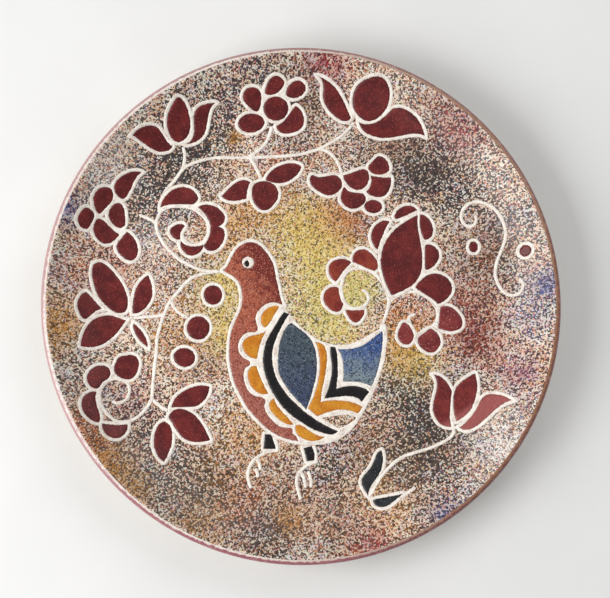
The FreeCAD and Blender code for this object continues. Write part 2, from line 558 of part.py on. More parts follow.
def line_points(outline, width, reach):
    """Pointed line ends past the sharp corners of an outline."""
    points = []
    for corner, arriving, leaving in corners(outline):
        inside_angle = 180 - math.degrees(arriving.getAngle(leaving))
        if inside_angle > SHARP_CORNER:
            continue
        outward = (arriving - leaving).normalize()
        tip = corner + outward * reach
        along = width ** 2 / reach
        aside = width * math.sqrt(1 - (width / reach) ** 2)
        foot = corner + outward * along
        side = Vector(-outward.y, outward.x, 0) * aside
        points.append(Part.Face(Part.makePolygon([tip, foot + side, corner, foot - side, tip])))
    return points


def grown(shape, width):
    """A face round a face or wire at a distance, with its offset curves turned into splines."""
    return Part.Face(shape.makeOffset2D(width).Wires[0].toNurbs().Wires[0])


def border(outline, width, reach):
    """An outline grown by a line's width, with its pointed ends."""
    return [grown(outline_face(outline), width)] + line_points(outline, width, reach)


def stroke(points, width):
    """A line of constant width with round ends."""
    return grown(Part.Wire([spline(points)]), width / 2)


def fused(faces):
    """One flat region from overlapping faces."""
    flat = [facing_up(face) for shape in faces for face in shape.Faces]
    if len(flat) == 1:
        return flat[0]
    merged = Part.makeShell(flat[0].fuse(flat[1:]).Faces).removeSplitter()
    return Part.makeCompound(merged.Faces)


def boxes_touch(first, second):
    return first.BoundBox.intersect(second.BoundBox)


def less(region, tools):
    """A region without the tools that reach it."""
    near = [tool for tool in tools if boxes_touch(region, tool)]
    return region.cut(near) if near else region


# ---------------------------------------------------------------- painted nodes
painted = []
painted_fields = []     # the plans of all colour fields so far
painted_lines = []      # the plans of all cream lines so far


def painted_node(name, plan, layer):
    """A plan, as thick as the layer that it is cut from."""
    pattern = doc.addObject("Part::Feature", name + "_plan")
    pattern.Shape = plan
    prism = doc.addObject("Part::Extrusion", name + "_prism")
    prism.Base = pattern
    prism.DirMode = "Custom"
    prism.Dir = Vector(0, 0, 1)
    prism.Solid = True
    prism.setExpression("LengthFwd", "Sizes.overall_height")
    node = doc.addObject("Part::Common", name)
    node.Label = name
    node.Base = prism
    node.Tool = layer
    painted.append(node)


def add_fields(name, outlines):
    """The colour fields of one motif, each a separate patch of enamel."""
    faces = [outline_face(outline) for outline in outlines]
    painted_fields.extend(faces)
    painted_node(name, Part.makeCompound(faces), enamel_layer)


def add_lines(name, faces):
    """The cream lines of one motif, kept clear of every colour field and of the lines before it."""
    region = less(less(fused(faces), painted_fields), painted_lines)
    painted_lines.append(region)
    painted_node(name, region, slip_layer)


line_width = SIZES["line_width"]
tip_reach = SIZES["tip_reach"]


def motif_lines(outlines, strokes=()):
    """The border round each field of a motif, and its stems."""
    faces = [face for outline in outlines for face in border(outline, line_width, tip_reach)]
    return faces + [stroke(points, line_width) for points in strokes]


MOTIFS = [
    ("upper_left_tulip", TULIP_UPPER_LEFT, []),
    ("rosette", ROSETTE, []),
    ("top_tulip", TULIP_TOP, []),
    ("centre_leaves", CENTRE_LEAVES, []),
    ("right_berries", RIGHT_BERRIES, []),
    ("upper_spiral", UPPER_SPIRAL, UPPER_SPIRAL_LINE),
    ("left_berries", LEFT_BERRIES, []),
    ("left_leaves", LEFT_LEAVES, []),
    ("berry_column", BERRY_COLUMN, []),
    ("lower_spiral", LOWER_SPIRAL, LOWER_SPIRAL_LINE),
    ("lower_leaves", LOWER_LEAVES, []),
    ("right_leaves", RIGHT_LEAVES, []),
    ("centre_spiral", CENTRE_SPIRAL, CENTRE_SPIRAL_LINE),
    ("right_spiral", RIGHT_SPIRAL, RIGHT_SPIRAL_LINE),
    ("scroll", SCROLL_SPOTS, SCROLL_LINE),
    ("lower_right_tulip", TULIP_LOWER_RIGHT, LOWER_STEM),
    ("leaf_pair", LEAF_PAIR, []),
]


def add_bird():
    """The bird's fields, then its own cream lines: all of the outline that no field covers."""
    body = outline_face(BIRD_OUTLINE)
    eye = outline_face(EYE_WHITE[0])
    pupil = outline_face(PUPIL[0])
    breast = body.common(outline_face(BREAST_BORDER)).cut([eye])
    painted_fields.append(breast)
    painted_node("bird_breast", breast, enamel_layer)
    painted_fields.append(eye)
    painted_node("bird_eye", eye.cut([pupil]), enamel_layer)
    painted_node("bird_pupil", pupil, enamel_layer)
    add_fields("bird_scallops", BREAST_SCALLOPS)
    add_fields("bird_black_feathers", BLACK_FEATHERS)
    add_fields("bird_wing", WING_PANEL)
    add_fields("bird_ochre_band", OCHRE_BAND)
    add_fields("bird_tail", TAIL_PANEL)
    add_fields("bird_thighs", THIGHS)
    head_and_front = [BIRD_OUTLINE[0] + BIRD_OUTLINE[1][:1], BIRD_OUTLINE[2] + BIRD_OUTLINE[0][:1]]
    rim = [stroke(points, 2 * line_width) for points in head_and_front]
    gap = outline_face([[(12.5, -66.5), (20, -64.8), (31, -65)], [(22, -72)]])
    return less(fused([body] + rim), [gap])


bird_region = add_bird()
for name, outlines, strokes in MOTIFS:
    add_fields(name + "_fields", outlines)
leg_lines = [border(outline, line_width, line_width * 1.2) for outline in THIGHS]
feet = [stroke(points, line_width) for points in FEET]
add_lines("bird_lines", [bird_region])
add_lines("bird_leg_lines", [face for faces in leg_lines for face in faces] + feet)
for name, outlines, strokes in MOTIFS:
    add_lines(name + "_lines", motif_lines(outlines, strokes))
add_lines("upper_vine_line", [stroke(points, line_width) for points in UPPER_VINE])
add_lines("lower_vine_line", [stroke(points, line_width) for points in LOWER_VINE])

# ---------------------------------------------------------------- check and write
doc.recompute()
for thing in doc.Objects:
    if {"Invalid", "Error"} & set(thing.State):
        raise RuntimeError(f"{thing.Name} did not build: {thing.State}")
pieces = turned + painted
for piece in pieces:
    shape = piece.Shape
    if shape.isNull() or not shape.isValid() or shape.Volume <= 0 or not shape.Solids:
        raise RuntimeError(f"{piece.Label} has no valid solid")

os.makedirs("parts", exist_ok=True)
for piece in pieces:
    piece.Shape.exportStep(f"parts/{piece.Label}.step")
    print(f"{piece.Label}: {len(piece.Shape.Solids)} solids, {piece.Shape.Volume:.1f} mm3")
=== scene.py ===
"""The looks of the hand painted ceramic plate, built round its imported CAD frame.

The plate is a turned shell with a sprayed, speckled face. Each painted motif of the frame gives its
outline to a raised piece here: flat glossy enamel for the colour fields, a rounded bead of cream slip
for the lines. Lengths are metres unless a name says mm; +Z is up and +Y is the picture's top.
"""
import math

import bpy
import numpy as np
from mathutils import Matrix, Vector, geometry, kdtree, noise


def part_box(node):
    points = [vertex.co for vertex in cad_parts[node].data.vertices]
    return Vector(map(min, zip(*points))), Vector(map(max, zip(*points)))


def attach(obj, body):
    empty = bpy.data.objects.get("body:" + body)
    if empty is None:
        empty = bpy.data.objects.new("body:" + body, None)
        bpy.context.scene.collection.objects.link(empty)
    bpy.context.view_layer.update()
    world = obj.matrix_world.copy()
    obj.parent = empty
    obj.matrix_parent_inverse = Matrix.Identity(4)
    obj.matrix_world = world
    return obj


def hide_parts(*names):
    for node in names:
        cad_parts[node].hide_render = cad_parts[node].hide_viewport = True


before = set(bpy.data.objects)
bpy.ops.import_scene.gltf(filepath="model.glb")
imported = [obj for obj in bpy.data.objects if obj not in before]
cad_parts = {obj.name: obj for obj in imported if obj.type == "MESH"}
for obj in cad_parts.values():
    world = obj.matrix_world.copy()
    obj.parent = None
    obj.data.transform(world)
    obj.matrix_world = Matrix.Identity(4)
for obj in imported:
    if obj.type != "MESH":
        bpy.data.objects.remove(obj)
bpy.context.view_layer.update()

MM = 0.001

# ------------------------------------------------------------------ sizes
# The rim, the height and the face's level come from the frame. The others repeat the CAD's own sizes.
_, lip_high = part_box("lip_glaze")
RIM_RADIUS = lip_high.x
HEIGHT = lip_high.z
LIP_RADIUS = 2.6 * MM
GLAZE = 0.4 * MM
FLOOR_RADIUS = 104 * MM
FLOOR_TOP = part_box("face_glaze")[0].z + GLAZE
BACK_RADIUS = 98 * MM
BACK_HEIGHT = 5 * MM
FOOT_RADIUS = 88 * MM
FOOT_WIDTH = 7 * MM
FOOT_FILLET = 2 * MM
FOOT_BARE = 1.6 * MM
WELL_HEIGHT = 5.4 * MM
LIP_X = RIM_RADIUS - LIP_RADIUS
LIP_Z = HEIGHT - LIP_RADIUS


def tangent_radius(run, rise, lip):
    """The radius of an arc that leaves a flat level and touches the lip's round section."""
    return (run ** 2 + rise ** 2 - lip ** 2) / (2 * (rise + lip))


FACE_ARC = tangent_radius(LIP_X - FLOOR_RADIUS, LIP_Z - FLOOR_TOP, LIP_RADIUS)
BACK_ARC = tangent_radius(LIP_X - BACK_RADIUS, LIP_Z - BACK_HEIGHT, -LIP_RADIUS)
FACE_JOINT = math.atan2(FLOOR_TOP + FACE_ARC - LIP_Z, FLOOR_RADIUS - LIP_X)
BACK_JOINT = math.atan2(LIP_Z - BACK_HEIGHT - BACK_ARC, LIP_X - BACK_RADIUS)
COLOUR_JOINT = math.radians(100)    # where the face's glaze gives way to the rose lip


def face_height(radius):
    """Height of the glazed face at a distance from the axis, as far out as the wall goes."""
    run = np.clip(np.asarray(radius) - FLOOR_RADIUS, 0, LIP_X - FLOOR_RADIUS)
    return FLOOR_TOP + FACE_ARC - np.sqrt(FACE_ARC ** 2 - run ** 2)


# ------------------------------------------------------------------ node helpers
def colour(red, green, blue):
    """A display colour, 0 to 255, as linear RGBA."""
    def linear(value):
        value /= 255
        return value / 12.92 if value <= 0.04045 else ((value + 0.055) / 1.055) ** 2.4
    return (linear(red), linear(green), linear(blue), 1.0)


class Shader:
    """A short way to write one node material."""

    def __init__(self, name):
        self.material = bpy.data.materials.new(name)
        self.material.use_nodes = True
        self.tree = self.material.node_tree
        self.tree.nodes.clear()
        self.out = self.add("ShaderNodeOutputMaterial")
        self.bsdf = self.add("ShaderNodeBsdfPrincipled")
        self.tree.links.new(self.bsdf.outputs[0], self.out.inputs[0])

    def add(self, kind, **values):
        node = self.tree.nodes.new(kind)
        for key, value in values.items():
            setattr(node, key, value)
        return node

    def put(self, socket, value):
        if isinstance(value, bpy.types.NodeSocket):
            self.tree.links.new(value, socket)
        else:
            socket.default_value = value

    def math(self, operation, first, second=0.0, clamp=False):
        node = self.add("ShaderNodeMath", operation=operation, use_clamp=clamp)
        self.put(node.inputs[0], first)
        self.put(node.inputs[1], second)
        return node.outputs[0]

    def mix(self, amount, first, second, blend="MIX"):
        node = self.add("ShaderNodeMix", data_type="RGBA", blend_type=blend)
        self.put(node.inputs[0], amount)
        self.put(node.inputs[6], first)
        self.put(node.inputs[7], second)
        return node.outputs[2]

    def ramp(self, value, low, high, to_low=0.0, to_high=1.0):
        node = self.add("ShaderNodeMapRange", clamp=True, interpolation_type="SMOOTHSTEP")
        self.put(node.inputs[0], value)
        for socket, number in zip(node.inputs[1:5], (low, high, to_low, to_high)):
            self.put(socket, number)
        return node.outputs[0]

    def millimetres(self):
        """The place on the object, in millimetres."""
        place = self.add("ShaderNodeTexCoord").outputs["Object"]
        scale = self.add("ShaderNodeVectorMath", operation="SCALE")
        self.put(scale.inputs[0], place)
        scale.inputs[3].default_value = 1 / MM
        return scale.outputs[0]

    def axis(self, place, name):
        split = self.add("ShaderNodeSeparateXYZ")
        self.put(split.inputs[0], place)
        return split.outputs[name]

    def noise(self, place, size_mm, detail=2.0, rough=0.5):
        node = self.add("ShaderNodeTexNoise")
        self.put(node.inputs["Vector"], place)
        node.inputs["Scale"].default_value = 1 / size_mm
        node.inputs["Detail"].default_value = detail
        node.inputs["Roughness"].default_value = rough
        return node.outputs[0]

    def cells(self, place, size_mm, seed=0.0):
        """Round cells: distance from the middle, and three random numbers for each cell."""
        shift = self.add("ShaderNodeVectorMath", operation="ADD")
        self.put(shift.inputs[0], place)
        shift.inputs[1].default_value = (seed * 7.3, seed * 3.1, 0)
        node = self.add("ShaderNodeTexVoronoi", voronoi_dimensions="2D")
        self.put(node.inputs["Vector"], shift.outputs[0])
        node.inputs["Scale"].default_value = 1 / size_mm
        split = self.add("ShaderNodeSeparateColor")
        self.put(split.inputs[0], node.outputs["Color"])
        return node.outputs["Distance"], split.outputs

    def ragged(self, place, size_mm, amount_mm):
        """The place, shifted a little by noise, so that spots get uneven edges."""
        node = self.add("ShaderNodeTexNoise")
        self.put(node.inputs["Vector"], place)
        node.inputs["Scale"].default_value = 1 / size_mm
        centred = self.add("ShaderNodeVectorMath", operation="SUBTRACT")
        self.put(centred.inputs[0], node.outputs[1])
        centred.inputs[1].default_value = (0.5, 0.5, 0.5)
        scaled = self.add("ShaderNodeVectorMath", operation="SCALE")
        self.put(scaled.inputs[0], centred.outputs[0])
        scaled.inputs[3].default_value = 2 * amount_mm
        moved = self.add("ShaderNodeVectorMath", operation="ADD")
        self.put(moved.inputs[0], place)
        self.put(moved.inputs[1], scaled.outputs[0])
        return moved.outputs[0]

    def spots(self, place, size_mm, share, seed, smallest=0.2, largest=0.55):
        """A mask of round specks: share is the part of all cells that holds one."""
        distance, random = self.cells(place, size_mm, seed)
        present = self.math("LESS_THAN", random[0], share)
        radius = self.ramp(random[1], 0.0, 1.0, smallest, largest)
        inner = self.math("MULTIPLY", radius, 0.7)
        disc = self.ramp(distance, inner, radius, 1.0, 0.0)
        return self.math("MULTIPLY", present, disc)

    def palette(self, value, shades, interpolation="LINEAR"):
        """A colour picked from (position, display colour) pairs."""
        node = self.add("ShaderNodeValToRGB")
        node.color_ramp.interpolation = interpolation
        stops = node.color_ramp.elements
        stops.remove(stops[1])
        for position, shade in shades:
            stop = stops[0] if position == 0 else stops.new(position)
            stop.color = colour(*shade)
        self.put(node.inputs[0], value)
        return node.outputs[0]

    def bump(self, height, distance_mm):
        node = self.add("ShaderNodeBump")
        node.inputs["Distance"].default_value = distance_mm * MM
        node.inputs["Strength"].default_value = 1.0
        self.put(node.inputs["Height"], height)
        self.put(self.bsdf.inputs["Normal"], node.outputs[0])

    def finish(self, base, roughness, gloss=0.5, coat=0.0):
        self.put(self.bsdf.inputs["Base Color"], base)
        self.put(self.bsdf.inputs["Roughness"], roughness)
        self.bsdf.inputs["Specular IOR Level"].default_value = gloss
        self.bsdf.inputs["Coat Weight"].default_value = coat
        self.bsdf.inputs["Coat Roughness"].default_value = 0.12
        return self.material


# ------------------------------------------------------------------ the sprayed face
INK = colour(34, 28, 30)

# Clouds of sprayed colour: name, centre and radius in mm, and how thick the spray lies.
SPRAY = {
    "charcoal": (52, 48, 54),
    "navy": (58, 60, 98),
    "blue": (66, 82, 150),
    "crimson": (172, 56, 68),
    "red": (154, 60, 46),
    "magenta": (150, 78, 112),
    "ochre": (210, 148, 58),
    "orange": (202, 108, 48),
    "yellow": (224, 200, 106),
    "lime": (212, 204, 120),
    "olive": (84, 76, 62),
    "brown": (146, 96, 62),
    "white": (240, 237, 234),
}
CLOUDS = [
    ("charcoal", -80, 70, 20, 0.85), ("charcoal", -62, 96, 18, 0.9), ("navy", -48, 120, 12, 0.55),
    ("charcoal", -97, 56, 12, 0.4), ("navy", -28, 137, 12, 0.45), ("crimson", 14, 141, 12, 0.75),
    ("brown", -5, 122, 18, 0.6), ("charcoal", -6, 118, 15, 0.6), ("charcoal", 73, 80, 18, 0.85),
    ("charcoal", 94, 70, 18, 0.45), ("crimson", 94, 98, 13, 0.5), ("red", 84, 114, 14, 0.5),
    ("navy", 122, 50, 15, 0.4), ("brown", 55, 94, 20, 0.6), ("brown", 108, 32, 22, 0.65),
    ("charcoal", 118, 22, 13, 0.25), ("blue", 143, 12, 10, 0.8), ("blue", 134, -8, 11, 0.35),
    ("red", 103, -20, 15, 0.85), ("magenta", 126, -40, 13, 0.6), ("red", 90, -6, 16, 0.5),
    ("red", 104, 6, 18, 0.35), ("blue", -138, 55, 10, 0.6), ("white", -112, 80, 16, 0.4),
    ("ochre", -139, -14, 13, 0.8), ("charcoal", -122, -40, 16, 0.25), ("orange", -122, -76, 15, 0.7),
    ("ochre", -110, -92, 14, 0.85), ("charcoal", -92, -72, 22, 0.4), ("crimson", -98, -56, 14, 0.35),
    ("olive", -80, -100, 20, 0.3), ("ochre", -94, -106, 9, 0.7), ("ochre", -50, -92, 16, 0.35),
    ("charcoal", -56, -106, 20, 0.5), ("ochre", -60, -122, 18, 0.5), ("orange", -34, -116, 16, 0.45),
    ("brown", -10, -106, 22, 0.45), ("ochre", -8, -126, 9, 0.8), ("charcoal", -22, -132, 15, 0.65),
    ("charcoal", 14, -94, 16, 0.4), ("brown", 38, -82, 18, 0.6), ("crimson", 40, -142, 12, 0.75),
    ("brown", 20, -126, 18, 0.6), ("ochre", 52, -112, 18, 0.5), ("blue", 82, -122, 12, 0.6),
    ("charcoal", 76, -66, 17, 0.8), ("olive", 56, -52, 15, 0.55), ("olive", 96, -58, 16, 0.4),
    ("olive", 66, -92, 20, 0.7), ("brown", 84, -84, 16, 0.4), ("white", 116, -84, 18, 0.6),
    ("yellow", 2, 44, 20, 0.9), ("yellow", 14, 22, 20, 0.95), ("lime", 12, -2, 18, 0.75),
    ("lime", 33, 10, 12, 0.95), ("ochre", -24, 60, 18, 0.6), ("yellow", -46, 10, 14, 0.95),
    ("yellow", -44, -16, 13, 0.8), ("orange", 22, 51, 13, 0.8), ("red", 34, 46, 10, 0.4),
    ("yellow", 20, -16, 16, 0.6), ("ochre", 58, -24, 16, 0.7), ("yellow", 66, -34, 14, 0.7),
    ("ochre", -44, 42, 16, 0.6), ("white", -90, 36, 14, 0.3), ("ochre", -40, 99, 4, 1.3),
    ("orange", 60, -6, 12, 0.5), ("brown", -62, -30, 16, 0.45), ("ochre", -74, -16, 18, 0.45),
    ("brown", -66, 18, 18, 0.3), ("red", -108, 28, 16, 0.4), ("red", -110, -2, 14, 0.35),
    ("white", 50, 112, 12, 0.3), ("ochre", -28, -76, 18, 0.5), ("brown", 2, 92, 22, 0.2),
    ("crimson", -14, 76, 16, 0.3), ("olive", 44, 78, 14, 0.4), ("orange", -126, 18, 12, 0.35),
]
DARK_SPRAY = {"charcoal", "navy", "olive"}
LIGHT_SPRAY = {"white", "yellow", "lime"}
GROUND_DARK = 0.27      # how much of the ground is dark grains away from the clouds


def linear_rgb(name):
    return np.array(colour(*SPRAY[name])[:3])


def spray_at(x_mm, y_mm):
    """The sprayed colour, how thick it lies and how much of it is dark, at points on the face."""
    shade = np.tile(linear_rgb("ochre"), (len(x_mm), 1))
    weight = np.full(len(x_mm), 0.02)
    cover = np.zeros(len(x_mm))
    dark = np.full(len(x_mm), GROUND_DARK)
    for name, x, y, radius, thick in CLOUDS:
        amount = thick * np.exp(-((x_mm - x) ** 2 + (y_mm - y) ** 2) / radius ** 2)
        weight = weight + amount
        shade = shade + (linear_rgb(name) - shade) * (amount / weight)[:, None]
        wash = amount * (0.3 if name in DARK_SPRAY else 1.0)
        cover = cover + wash * (1 - 0.6 * cover)
        if name in DARK_SPRAY:
            dark = dark + 0.5 * amount
        elif name in LIGHT_SPRAY:
            dark = dark * (1 - 0.55 * amount)
    return shade, np.clip(cover, 0, 1), np.clip(dark, 0.03, 0.75)


def add_spray_layers(mesh):
    """Writes the clouds of spray on a mesh, as a colour and two numbers at each point."""
    place = np.empty(len(mesh.vertices) * 3)
    mesh.vertices.foreach_get("co", place)
    place = place.reshape(-1, 3) / MM
    shade, cover, dark = spray_at(place[:, 0], place[:, 1])
    rgba = np.ones((len(place), 4))
    rgba[:, :3] = shade
    layer = mesh.attributes.new("spray", "FLOAT_COLOR", "POINT")
    layer.data.foreach_set("color", rgba.ravel())
    for name, values in (("cover", cover), ("dark", dark)):
        layer = mesh.attributes.new(name, "FLOAT", "POINT")
        layer.data.foreach_set("value", values)


def read_layer(shader, name, output):
    return shader.add("ShaderNodeAttribute", attribute_name=name).outputs[output]


# Display colours at positions along a ramp, from 0 to 1.
GRAIN_COLOURS = [
    (0.0, (158, 50, 46)), (0.16, (214, 142, 44)), (0.34, (66, 78, 150)), (0.46, (70, 46, 42)),
    (0.58, (198, 84, 44)), (0.72, (196, 116, 112)), (0.84, (176, 164, 76)), (0.93, (104, 56, 88)),
]
GROUND_TINTS = [
    (0.0, (196, 176, 196)), (0.22, (232, 206, 150)), (0.4, (214, 160, 132)), (0.55, (238, 230, 214)),
    (0.7, (198, 202, 176)), (0.85, (184, 190, 214)), (1.0, (222, 170, 164)),
]


def sprayed_glaze():
    """Cream ground under layers of sprayed grains of many colours, all under one gloss."""
    s = Shader("speckled_glaze")
    place = s.millimetres()
    rough_place = s.ragged(place, 0.6, 0.25)
    spray = read_layer(s, "spray", "Color")
    cover = read_layer(s, "cover", "Fac")
    dark = read_layer(s, "dark", "Fac")
    patch = s.noise(place, 3.0, 3.0, 0.6)
    drift = s.noise(place, 9.0, 3.0, 0.6)
    thick = s.math("MULTIPLY", cover, s.ramp(patch, 0.25, 0.75, 0.5, 1.5), True)
    _, random = s.cells(rough_place, 0.8, 1)
    _, other = s.cells(rough_place, 0.6, 2)
    cream = s.mix(random[2], colour(248, 243, 230), colour(226, 217, 200))
    tint = s.palette(s.ramp(s.noise(place, 15.0, 3.0, 0.6), 0.25, 0.75), GROUND_TINTS)
    cream = s.mix(0.42, cream, tint)
    base = s.mix(s.math("MULTIPLY", thick, 0.85), cream, spray)
    hue = s.math("MULTIPLY", s.noise(place, 7.0, 2.0, 0.5), 3.0)
    pick = s.math("FRACT", s.math("ADD", hue, s.math("MULTIPLY", other[2], 0.45)))
    accent = s.palette(pick, GRAIN_COLOURS, "CONSTANT")
    share = s.math("MULTIPLY", s.ramp(drift, 0.35, 0.65, 0.52, 0.28), s.ramp(thick, 0.0, 1.0, 1.0, 0.4))
    base = s.mix(s.math("MULTIPLY", s.math("LESS_THAN", other[0], share), 0.85), base, accent)
    tinted = s.math("LESS_THAN", random[1], s.math("MULTIPLY", thick, 0.5))
    deep = s.mix(0.75, spray, colour(130, 70, 60), "MULTIPLY")
    base = s.mix(tinted, base, s.mix(other[1], deep, spray))
    ink = s.mix(0.12, INK, spray)
    density = s.math("MULTIPLY", dark, s.ramp(patch, 0.25, 0.75, 1.4, 0.6))
    black = s.math("LESS_THAN", random[0], density)
    base = s.mix(s.math("MULTIPLY", black, 0.92), base, ink)
    blots = s.spots(s.ragged(place, 1.2, 0.6), 2.4, s.math("MULTIPLY", dark, 0.8), 7, 0.12, 0.42)
    base = s.mix(s.math("MULTIPLY", blots, 0.95), base, ink)
    s.bump(s.noise(place, 0.7, 3.0, 0.6), 0.06)
    return s.finish(base, s.ramp(patch, 0.3, 0.7, 0.30, 0.44), 0.4)


# ------------------------------------------------------------------ other glazes and enamels
def plain_glaze(name, base, second):
    """Two close tones in soft clouds, with a few dark pin holes."""
    s = Shader(name)
    place = s.millimetres()
    cloudy = s.noise(place, 12.0, 4.0)
    shade = s.mix(s.ramp(cloudy, 0.35, 0.65), base, second)
    pin = s.spots(s.ragged(place, 1.0, 0.2), 3.0, 0.05, 3, 0.08, 0.2)
    shade = s.mix(s.math("MULTIPLY", pin, 0.6), shade, colour(96, 74, 60))
    s.bump(s.noise(place, 6.0, 3.0), 0.12)
    return s.finish(shade, 0.24, 0.5, 0.3)


def rim_glaze():
    """Rose glaze, dusty rose at the left and brick at the right, with painted light: lighter where the
    window lights the left side and darker at the shaded right. A pale band where it meets the face: pale
    glaze, with a painted highlight at the left.
    """
    s = Shader("rim_glaze")
    place = s.millimetres()
    side = s.axis(place, "X")
    # Painted light: the rim is made lighter at the lit left and darker at the shaded right, on top of the
    # glaze's own change from rose to brick.
    across = s.ramp(side, -120.0, 120.0)
    along = s.ramp(s.axis(place, "Y"), -150.0, -40.0)
    shade = s.mix(across, colour(180, 144, 142), colour(124, 74, 60))
    low = s.mix(s.ramp(side, 0.0, 110.0), colour(148, 84, 92), colour(108, 60, 58))
    shade = s.mix(along, low, shade)
    streaks = s.noise(place, 3.0, 4.0, 0.65)
    shade = s.mix(s.ramp(streaks, 0.45, 0.75, 0.0, 0.5), shade, colour(196, 156, 150))
    shade = s.mix(s.ramp(streaks, 0.2, 0.4, 0.5, 0.0), shade, colour(86, 42, 46))
    flat = s.add("ShaderNodeVectorMath", operation="MULTIPLY")
    s.put(flat.inputs[0], place)
    flat.inputs[1].default_value = (1, 1, 0)
    length = s.add("ShaderNodeVectorMath", operation="LENGTH")
    s.put(length.inputs[0], flat.outputs[0])
    edge = s.math("ADD", length.outputs["Value"], s.ramp(s.noise(place, 2.5, 3.0), 0.2, 0.8, -0.5, 0.5))
    # The pale band at the lip's top: ochre brown pale glaze at the right, and near white at the left, where
    # it is a painted highlight from the window.
    worn = s.ramp(edge, 147.6, 148.5, 1.0, 0.0)
    pale_glaze_and_highlight = s.mix(s.ramp(side, -60.0, 110.0), colour(240, 230, 220), colour(150, 104, 70))
    shade = s.mix(s.math("MULTIPLY", worn, 0.85), shade, pale_glaze_and_highlight)
    s.bump(s.noise(place, 2.0, 3.0), 0.08)
    return s.finish(shade, 0.26, 0.5, 0.3)


def bare_clay():
    s = Shader("bare_clay")
    place = s.millimetres()
    shade = s.mix(s.ramp(s.noise(place, 4.0, 4.0), 0.3, 0.7), colour(196, 152, 120), colour(178, 132, 102))
    grit = s.spots(place, 1.2, 0.15, 2, 0.1, 0.35)
    shade = s.mix(s.math("MULTIPLY", grit, 0.6), shade, colour(120, 84, 64))
    s.bump(s.noise(place, 0.6, 4.0, 0.7), 0.1)
    return s.finish(shade, 0.85, 0.25)


def enamel(name, base, second, speck, share, thin=None):
    """Brushed enamel: two tones in soft clouds, with fine specks of a third colour.

    thin is a lighter colour painted on the part of a petal that lies low and to the right, up the rim's
    wall: a painted sheen from the window's reflection there.
    """
    s = Shader(name)
    place = s.millimetres()
    rough_place = s.ragged(place, 0.8, 0.15)
    cloudy = s.noise(place, 7.0, 4.0, 0.6)
    shade = s.mix(s.ramp(cloudy, 0.35, 0.65), base, second)
    if thin:
        # Painted sheen: lighter towards the lower right, where the wall faces the window.
        lean = s.math("SUBTRACT", s.math("MULTIPLY", s.axis(place, "X"), 0.66), s.axis(place, "Y"))
        shade = s.mix(s.ramp(lean, 121.0, 127.0, 0.0, 0.9), shade, thin)
    grain = s.noise(place, 0.9, 2.0, 0.7)
    shade = s.mix(s.ramp(grain, 0.3, 0.75, 0.35, 0.0), shade, colour(30, 14, 16))
    fine = s.spots(rough_place, 0.9, share, 11, 0.12, 0.4)
    shade = s.mix(s.math("MULTIPLY", fine, 0.75), shade, speck)
    s.bump(s.noise(place, 0.8, 3.0, 0.6), 0.05)
    return s.finish(shade, 0.38, 0.28)


def cream_slip():
    """Trailed cream slip: worn along its edges, grooved in places, with a few specks caught on it."""
    s = Shader("cream_slip")
    place = s.millimetres()
    rough_place = s.ragged(place, 0.6, 0.2)
    clouds = s.ramp(s.noise(place, 4.0, 3.0), 0.35, 0.65)
    shade = s.mix(clouds, colour(246, 240, 230), colour(234, 224, 212))
    middle = s.ramp(read_layer(s, "gap", "Fac"), 0.6, 0.95)
    worn = s.ramp(s.noise(place, 5.0, 3.0, 0.6), 0.45, 0.62)
    depth = s.ramp(s.noise(place, 0.8, 2.0), 0.4, 0.6, 0.1, 0.6)
    groove = s.math("MULTIPLY", s.math("MULTIPLY", middle, worn), depth)
    shade = s.mix(groove, shade, colour(176, 146, 130))
    thin = s.math("MULTIPLY", s.ramp(read_layer(s, "gap", "Fac"), 0.0, 0.5, 0.7, 0.0),
                  s.ramp(s.noise(place, 1.4, 3.0, 0.6), 0.4, 0.65))
    shade = s.mix(thin, shade, colour(164, 130, 116))
    rosy = s.spots(rough_place, 1.1, 0.16, 21, 0.1, 0.4)
    shade = s.mix(s.math("MULTIPLY", rosy, 0.4), shade, colour(186, 150, 130))
    black = s.spots(rough_place, 1.3, 0.08, 22, 0.08, 0.3)
    shade = s.mix(s.math("MULTIPLY", black, 0.7), shade, colour(80, 66, 62))
    s.bump(s.noise(place, 0.7, 3.0, 0.65), 0.1)
    return s.finish(shade, 0.42, 0.4)


def bird_breast_enamel():
    """Dark rust on the head and nape, orange rust on the neck, rosy brown below."""
    s = Shader("bird_breast_enamel")
    place = s.millimetres()
    rough_place = s.ragged(place, 0.8, 0.2)
    up = s.axis(place, "Y")
    across = s.axis(place, "X")
    shade = s.mix(s.ramp(up, -40.0, -5.0), colour(164, 98, 84), colour(170, 92, 68))
    nape = s.math("ADD", up, s.math("MULTIPLY", across, 1.4))
    ragged_nape = s.math("ADD", nape, s.ramp(s.noise(place, 4.0, 3.0, 0.6), 0.25, 0.75, -12.0, 12.0))
    shade = s.mix(s.ramp(ragged_nape, -34.0, -8.0, 0.0, 0.95), shade, colour(104, 28, 27))
    shade = s.mix(s.ramp(s.noise(place, 3.0, 3.0), 0.3, 0.7, 0.0, 0.4), shade, colour(134, 58, 46))
    fine = s.spots(rough_place, 0.9, 0.42, 31, 0.2, 0.5)
    shade = s.mix(s.math("MULTIPLY", fine, 0.5), shade, colour(216, 156, 128))
    deep = s.spots(rough_place, 1.0, 0.52, 32, 0.25, 0.6)
    shade = s.mix(s.math("MULTIPLY", deep, 0.75), shade, colour(88, 30, 30))
    s.bump(s.noise(place, 0.8, 3.0, 0.6), 0.06)
    return s.finish(shade, 0.4, 0.28)


